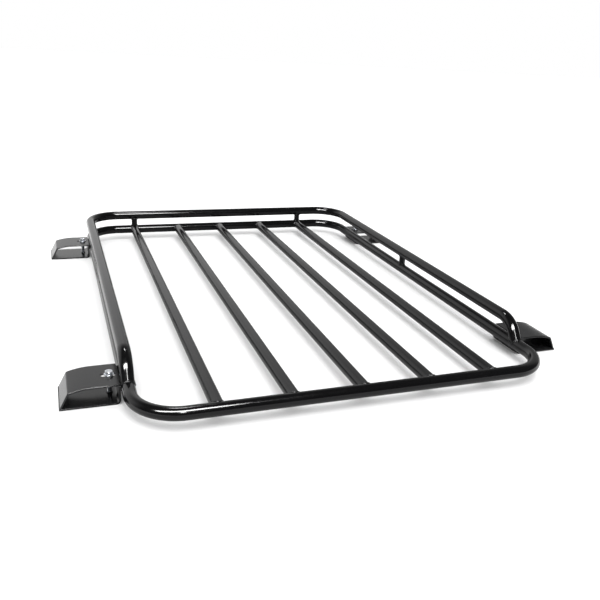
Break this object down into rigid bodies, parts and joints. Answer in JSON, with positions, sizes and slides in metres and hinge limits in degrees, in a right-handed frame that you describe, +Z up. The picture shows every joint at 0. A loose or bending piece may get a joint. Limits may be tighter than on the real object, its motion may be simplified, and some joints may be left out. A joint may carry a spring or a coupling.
{
  "type": "roof luggage rack",
  "caption": "Rigid tubular roof luggage rack: round-cornered ring with cross slats, a U-shaped upper rail and adjustable gutter clamps.",
  "frame": {"origin": "on the ground, under the middle of the ring", "axes": "+Z up, +Y towards the back, where the upper rail closes, +X to the rack's right"},
  "size_m": [1.0442, 1.178, 0.0875],
  "materials": {
    "frame_black": "gloss black powder coat",
    "clamp_black": "satin black powder coat",
    "zinc": "bright zinc plate"
  },
  "bodies": {
    "root": {"front_hoop": "frame_black", "rear_hoop": "frame_black", "upper_rail": "frame_black", "rear_post_left": "frame_black", "rear_post_right": "frame_black", "side_post_left": "frame_black", "side_post_right": "frame_black", "slat_1": "frame_black", "slat_2": "frame_black", "slat_3": "frame_black", "slat_4": "frame_black", "slat_5": "frame_black", "bracket_front_left": "clamp_black", "bush_front_left": "clamp_black", "bracket_front_right": "clamp_black", "bush_front_right": "clamp_black", "bracket_rear_left": "clamp_black", "bush_rear_left": "clamp_black", "bracket_rear_right": "clamp_black", "bush_rear_right": "clamp_black"},
    "washer_front_left": {"washer_front_left": "zinc"},
    "jaw_front_left": {"jaw_front_left": "clamp_black"},
    "bolt_front_left": {"bolt_front_left": "zinc"},
    "washer_front_right": {"washer_front_right": "zinc"},
    "jaw_front_right": {"jaw_front_right": "clamp_black"},
    "bolt_front_right": {"bolt_front_right": "zinc"},
    "washer_rear_left": {"washer_rear_left": "zinc"},
    "jaw_rear_left": {"jaw_rear_left": "clamp_black"},
    "bolt_rear_left": {"bolt_rear_left": "zinc"},
    "washer_rear_right": {"washer_rear_right": "zinc"},
    "jaw_rear_right": {"jaw_rear_right": "clamp_black"},
    "bolt_rear_right": {"bolt_rear_right": "zinc"}
  },
  "joints": [
    {"name": "lift_front_left", "type": "slide", "parent": "root", "child": "washer_front_left", "axis": [0, 0, 1], "range_m": [0, 0.00375]},
    {"name": "reach_front_left", "type": "slide", "parent": "washer_front_left", "child": "jaw_front_left", "axis": [-1, 0, 0], "range_m": [0, 0.006]},
    {"name": "turn_front_left", "type": "hinge", "parent": "washer_front_left", "child": "bolt_front_left", "pos_m": [-0.435, -0.426, 0.0385], "axis": [0, 0, 1], "range_deg": [0, 1080]},
    {"name": "lift_front_right", "type": "slide", "parent": "root", "child": "washer_front_right", "axis": [0, 0, 1], "range_m": [0, 0.00375]},
    {"name": "reach_front_right", "type": "slide", "parent": "washer_front_right", "child": "jaw_front_right", "axis": [1, 0, 0], "range_m": [0, 0.006]},
    {"name": "turn_front_right", "type": "hinge", "parent": "washer_front_right", "child": "bolt_front_right", "pos_m": [0.435, -0.41, 0.0385], "axis": [0, 0, 1], "range_deg": [0, 1080]},
    {"name": "lift_rear_left", "type": "slide", "parent": "root", "child": "washer_rear_left", "axis": [0, 0, 1], "range_m": [0, 0.00375]},
    {"name": "reach_rear_left", "type": "slide", "parent": "washer_rear_left", "child": "jaw_rear_left", "axis": [-1, 0, 0], "range_m": [0, 0.006]},
    {"name": "turn_rear_left", "type": "hinge", "parent": "washer_rear_left", "child": "bolt_rear_left", "pos_m": [-0.435, 0.432, 0.0385], "axis": [0, 0, 1], "range_deg": [0, 1080]},
    {"name": "lift_rear_right", "type": "slide", "parent": "root", "child": "washer_rear_right", "axis": [0, 0, 1], "range_m": [0, 0.00375]},
    {"name": "reach_rear_right", "type": "slide", "parent": "washer_rear_right", "child": "jaw_rear_right", "axis": [1, 0, 0], "range_m": [0, 0.006]},
    {"name": "turn_rear_right", "type": "hinge", "parent": "washer_rear_right", "child": "bolt_rear_right", "pos_m": [0.435, 0.448, 0.0385], "axis": [0, 0, 1], "range_deg": [0, 1080]}
  ],
  "couplings": [
    {"joint": "turn_front_left", "follows": "lift_front_left", "rad_per_m": 5026.5},
    {"joint": "turn_front_right", "follows": "lift_front_right", "rad_per_m": 5026.5},
    {"joint": "turn_rear_left", "follows": "lift_rear_left", "rad_per_m": 5026.5},
    {"joint": "turn_rear_right", "follows": "lift_rear_right", "rad_per_m": 5026.5}
  ]
}
